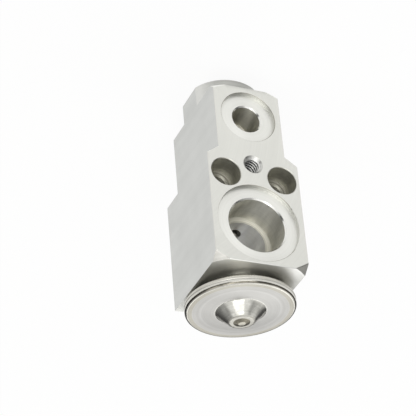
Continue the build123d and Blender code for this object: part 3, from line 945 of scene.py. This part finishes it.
@dataclass
class BodyBlock:
    """The machined block with its ports, fixing holes and tapped hole.

    Attributes:
        thread: the tapped hole's thread.
        milling_centre: middle of the arcs that the milling cutter left, in millimetres.
        smooth_angle: faces that meet more flatly than this shade as one, in degrees.
        face_slack: faces no further than this from a port face lie on it, in millimetres.
        bevel_depth: how deep the bevels of the outline reach, in millimetres.
        recess_slack: play on the depth of the sealing recesses, in millimetres.
        wall_limit: least cosine between a port wall's direction and its radius.
        corner_limit: corners' directions rise less than this.
    """

    thread: Thread = field(default_factory=Thread)
    milling_centre: Point = (60.0, 0.0, 20.0)
    smooth_angle: float = 25.0
    face_slack: float = 0.05
    bevel_depth: float = 0.21
    recess_slack: float = 0.1
    wall_limit: float = 0.9
    corner_limit: float = 0.95

    def build(self) -> None:
        """Machine the block, dress its faces and put it on its body."""
        block = free_copy("valve_body", "machined_block")
        cutter = self.thread.cutter()
        select_alone(block)
        bpy.ops.object.modifier_add(type="BOOLEAN")
        cut = block.modifiers[-1]
        cut.operation = "DIFFERENCE"
        cut.solver = "EXACT"
        cut.object = cutter
        bpy.ops.object.modifier_apply(modifier=cut.name)
        bpy.data.objects.remove(cutter)
        dress(block, self._cut_of)
        smooth_by_angle(block, self.smooth_angle)
        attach(block, "block")
        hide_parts("valve_body")
        log.info("%s: %d faces", block.name, len(block.data.polygons))

    def _cut_of(self, middle: Vector, normal: Vector) -> Cut:
        """Tell which cut made a face.

        Args:
            middle: the face's middle, in millimetres.
            normal: the face's outward direction.

        Returns:
            The finish of that cut and a point on its axis.
        """
        return (
            self._milled(middle, normal)
            or self._tapped(middle, normal)
            or self._fixing(middle, normal)
            or self._port(middle, normal)
            or self._bar(middle, normal)
        )

    def _milled(self, middle: Vector, normal: Vector) -> Optional[Cut]:
        """Tell whether a face is one of the port faces or a bevel at their outline.

        Args:
            middle: the face's middle, in millimetres.
            normal: the face's outward direction.

        Returns:
            The milled finish with its centre, or nothing.
        """
        x, y, z = middle
        to_port_face = min(y - HOSE_FACE_Y, EVAPORATOR_FACE_Y - y)
        if abs(normal.y) > FLAT and to_port_face < self.face_slack:
            return BodyFinish.MILLED, self.milling_centre
        if not BEVEL_LOW < abs(normal.y) < BEVEL_HIGH or to_port_face >= self.bevel_depth:
            return None
        at_side = abs(normal.x) > BEVEL_LOW
        at_end = z > OUTLINE_TOP or z < OUTLINE_BOTTOM
        if abs(x) > OUTLINE_X and (at_side or at_end):
            return BodyFinish.MILLED, self.milling_centre
        return None

    def _tapped(self, middle: Vector, normal: Vector) -> Optional[Cut]:
        """Tell whether a face belongs to the tapped hole.

        Args:
            middle: the face's middle, in millimetres.
            normal: the face's outward direction.

        Returns:
            The finish of that part of the hole with its centre, or nothing.
        """
        away = math.hypot(middle.x, middle.z - TAPPED_Z)
        if away >= TAPPED_REACH or middle.y >= HOSE_FACE_Y + TAPPED_DEPTH:
            return None
        if normal.y >= -OUTWARD:
            # Painted shade: thread sides turned away from the mouth get the dark colour
            cut = BodyFinish.THREAD_GROOVE
        elif middle.y < HOSE_FACE_Y + COUNTERSINK_DEPTH:
            cut = BodyFinish.COUNTERSINK
        else:
            cut = BodyFinish.THREAD_FLANK
        return cut, (0.0, 0.0, TAPPED_Z)

    def _fixing(self, middle: Vector, normal: Vector) -> Optional[Cut]:
        """Tell whether a face belongs to a fixing hole or its counterbore.

        Args:
            middle: the face's middle, in millimetres.
            normal: the face's outward direction.

        Returns:
            The finish of that part of the hole with its centre, or nothing.
        """
        away = math.hypot(abs(middle.x) - FIXING_X, middle.z - FIXING_Z)
        if away >= COUNTERBORE_REACH:
            return None
        if abs(normal.y) > FLAT:
            cut = BodyFinish.COUNTERBORE_SEAT
        elif away < FIXING_REACH:
            # Painted shade: the fixing holes' through bores get the darker bored colour
            cut = BodyFinish.INLET_BORE
        else:
            cut = BodyFinish.DRILLED
        return cut, (math.copysign(FIXING_X, middle.x), 0.0, FIXING_Z)

    def _port(self, middle: Vector, normal: Vector) -> Optional[Cut]:
        """Tell whether a face belongs to a port, and to which step of it.

        Args:
            middle: the face's middle, in millimetres.
            normal: the face's outward direction.

        Returns:
            The finish of that step with its centre, or nothing.
        """
        x, y, z = middle
        to_port_face = min(y - HOSE_FACE_Y, EVAPORATOR_FACE_Y - y)
        in_recess = to_port_face < RECESS_DEPTH + self.recess_slack
        for height, reach, side in PORTS:
            away = math.hypot(x, z - height)
            centre = (0.0, 0.0, height)
            if away >= reach or y * side < 0.0:
                continue
            if abs(normal.y) > FLAT:
                return (BodyFinish.TURNED_FLOOR if in_recess else BodyFinish.SHOULDER), centre
            if BEVEL_LOW < abs(normal.y) < BEVEL_HIGH:
                at_mouth = away > reach - MOUTH_WIDTH
                # Painted shade: the mouths' edge breaks get a darker colour
                return (BodyFinish.MOUTH_EDGE if at_mouth else BodyFinish.BEVEL), centre
            if abs(normal.x * x + normal.z * (z - height)) > self.wall_limit * away:
                return self._port_wall(in_recess, height, away), centre
        return None

    def _port_wall(self, in_recess: bool, height: float, away: float) -> BodyFinish:
        """Give the finish of a port's wall.

        Args:
            in_recess: whether it is the wall of the sealing recess.
            height: height of the port's axis, in millimetres.
            away: the wall's distance from that axis, in millimetres.

        Returns:
            The finish.
        """
        if in_recess:
            return BodyFinish.RECESS_WALL
        if height != SUCTION_Z:
            # Painted shade: the liquid ports' bores get the darker bored colour
            return BodyFinish.INLET_BORE
        # Painted light in the passage; painted reflection streaks on the bore's wall
        return BodyFinish.PASSAGE if away < PASSAGE_RADIUS else BodyFinish.BORED

    def _bar(self, middle: Vector, normal: Vector) -> Cut:
        """Tell the extruded sides, the turned ends and their corners from each other.

        Args:
            middle: the face's middle, in millimetres.
            normal: the face's outward direction.

        Returns:
            The finish with its centre.
        """
        in_waist = abs(normal.y) < SQUARE and WAIST_BOTTOM < middle.z < WAIST_TOP
        # The sides and the waist get the extruded finish, whose greyer colour is painted shade
        if abs(normal.x) > FLAT or in_waist:
            return BodyFinish.EXTRUDED, ORIGIN
        if middle.z > FIXING_Z:
            at_corner = normal.z < self.corner_limit and abs(middle.x) > CORNER_X
            # The ends carry painted reflection, paler towards their front and rear edges
            return (BodyFinish.TURNED_CORNER if at_corner else BodyFinish.TURNED_END), ORIGIN
        on_boss = middle.z < BOSS_HEIGHT
        # The boss gets painted reflection at its sides, the foot's facets a painted highlight
        return (BodyFinish.TURNED_BOSS if on_boss else BodyFinish.TURNED_FOOT), ORIGIN


@dataclass
class PowerHead:
    """The power head on top of the block: cover with its cone, pan, neck and plug.

    Attributes:
        tint_and_shade_radius: radius out to which the cover round the plug is darkened, by the
            weld's tint and by painted shade over the rounded shoulder at the cone's tip, in
            millimetres.
        cone_radius: radius of the cone's foot with its rounding, in millimetres.
        band_radius: radius where the cover's outer band starts, in millimetres.
        rim_radius: radius where the rolled rim starts, in millimetres.
        plug_top_radius: radius of the plug's flat top, in millimetres.
        smooth_angle: faces that meet more flatly than this shade as one, in degrees.
    """

    tint_and_shade_radius: float = 4.7
    cone_radius: float = 9.0
    band_radius: float = 16.7
    rim_radius: float = 18.1
    plug_top_radius: float = 1.25
    smooth_angle: float = 20.0

    def build(self) -> None:
        """Make each piece of the head, dress it and put it on the block."""
        for node, name, slot, finish_of in (
            ("head_cover", "pressed_cover", "head_steel", self._cover_finish),
            ("head_pan", "pressed_pan", "head_steel", self._pan_finish),
            ("head_neck", "turned_neck", "head_steel", self._neck_finish),
            ("charge_plug", "welded_plug", "plug_steel", self._plug_finish),
        ):
            piece = free_copy(node, name)
            dress(piece, finish_of)
            smooth_by_angle(piece, self.smooth_angle)
            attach(piece, "block")
            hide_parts(node)
            log.info("%s: %d faces", name, len(piece.data.polygons))

    def _cover_finish(self, middle: Vector, normal: Vector) -> Cut:
        """Give the finish of one face of the cover.

        Args:
            middle: the face's middle, in millimetres.
            normal: the face's outward direction.

        Returns:
            The finish with its centre.
        """
        away = math.hypot(middle.x, middle.y)
        # Round the plug: weld tint together with painted shade
        if away < self.tint_and_shade_radius:
            return HeadFinish.TINTED, ORIGIN
        if away < self.cone_radius:
            return HeadFinish.DRAWN_CONE, ORIGIN
        # Painted dark reflection, with heat tint, on the slope where the rim turns down
        if away > self.rim_radius and 0.3 < normal.z < 0.85:
            return HeadFinish.BLUED_EDGE, ORIGIN
        if away > self.rim_radius and normal.z < 0.999:
            return HeadFinish.ROLLED_RIM, ORIGIN
        if away > self.band_radius:
            return HeadFinish.HEATED, ORIGIN
        return HeadFinish.SATIN, ORIGIN

    def _pan_finish(self, middle: Vector, normal: Vector) -> Cut:
        """Give the finish of one face of the pan."""
        return HeadFinish.SPUN_PAN, ORIGIN

    def _neck_finish(self, middle: Vector, normal: Vector) -> Cut:
        """Give the finish of one face of the neck."""
        return HeadFinish.TURNED_NECK, ORIGIN

    def _plug_finish(self, middle: Vector, normal: Vector) -> Cut:
        """Give the finish of one face of the plug."""
        # The plug's flat top gets a painted highlight; the rest painted shade with a scorch tint
        if math.hypot(middle.x, middle.y) < self.plug_top_radius and normal.z > 0.9:
            return HeadFinish.WIPED_TOP, ORIGIN
        return HeadFinish.SCORCHED, ORIGIN


@dataclass
class InnerPieces:
    """The pieces inside the block, which keep their own meshes.

    Attributes:
        finishes: the finish of each piece, by its name.
    """

    finishes: dict[str, InnerFinish] = field(default_factory=lambda: {
        "head_seal_ring": InnerFinish.RUBBER,
        "diaphragm": InnerFinish.STRIP,
        "diaphragm_stop": InnerFinish.TURNED,
        "push_rod": InnerFinish.GROUND,
        "rod_seal": InnerFinish.RUBBER,
        "seal_washer": InnerFinish.STRIP,
        "seal_push_nut": InnerFinish.STRIP,
        "valve_ball": InnerFinish.LAPPED,
        "ball_cradle": InnerFinish.TURNED,
        "damping_spring": InnerFinish.STRIP,
        "adjusting_screw": InnerFinish.SCREW,
        "adjusting_screw_seal": InnerFinish.RUBBER,
    })

    def build(self) -> None:
        """Put each piece's finish in its material slots."""
        finishes = set(self.finishes.values())
        materials = {f: f.value.material() for f in InnerFinish if f in finishes}
        for name, finish in self.finishes.items():
            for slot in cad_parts[name].material_slots:
                slot.material = materials[finish]
            log.info("%s: %s", name, finish.value.name)


@dataclass
class SuperheatSpring:
    """The coil spring between the valve train and the adjusting screw.

    It is shown as two halves that meet at its middle.

    Attributes:
        smooth_angle: faces that meet more flatly than this shade as one, in degrees.
    """

    smooth_angle: float = 50.0

    def build(self) -> None:
        """Cut the spring at its middle into two halves."""
        bottom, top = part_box("superheat_spring")
        middle = (0.0, 0.0, (bottom.z + top.z) / 2.0)
        wire = InnerFinish.WIRE.value.material()
        ends = (("lower", bottom, "adjuster_ring"), ("upper", top, "valve_train"))
        for side, end, body in ends:
            half = free_copy("superheat_spring", f"superheat_spring_{side}_half")
            bpy.ops.object.mode_set(mode="EDIT")
            bpy.ops.mesh.select_all(action="SELECT")
            bpy.ops.mesh.bisect(
                plane_co=middle, plane_no=Axis.Z.value, use_fill=True,
                clear_outer=side == "lower", clear_inner=side == "upper",
            )
            bpy.ops.object.mode_set(mode="OBJECT")
            half.data.materials.clear()
            half.data.materials.append(wire)
            smooth_by_angle(half, self.smooth_angle)
            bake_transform(half)
            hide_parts("superheat_spring")
            log.info("%s: %d faces", half.name, len(half.data.polygons))


def main() -> None:
    """Build the studio and every sub-assembly."""
    logging.basicConfig(level=logging.INFO, format="%(name)s: %(message)s")
    Studio().build()
    BodyBlock().build()
    PowerHead().build()
    InnerPieces().build()
    SuperheatSpring().build()
    bpy.context.scene.view_settings.view_transform = "Standard"


if __name__ == "__main__":
    main()
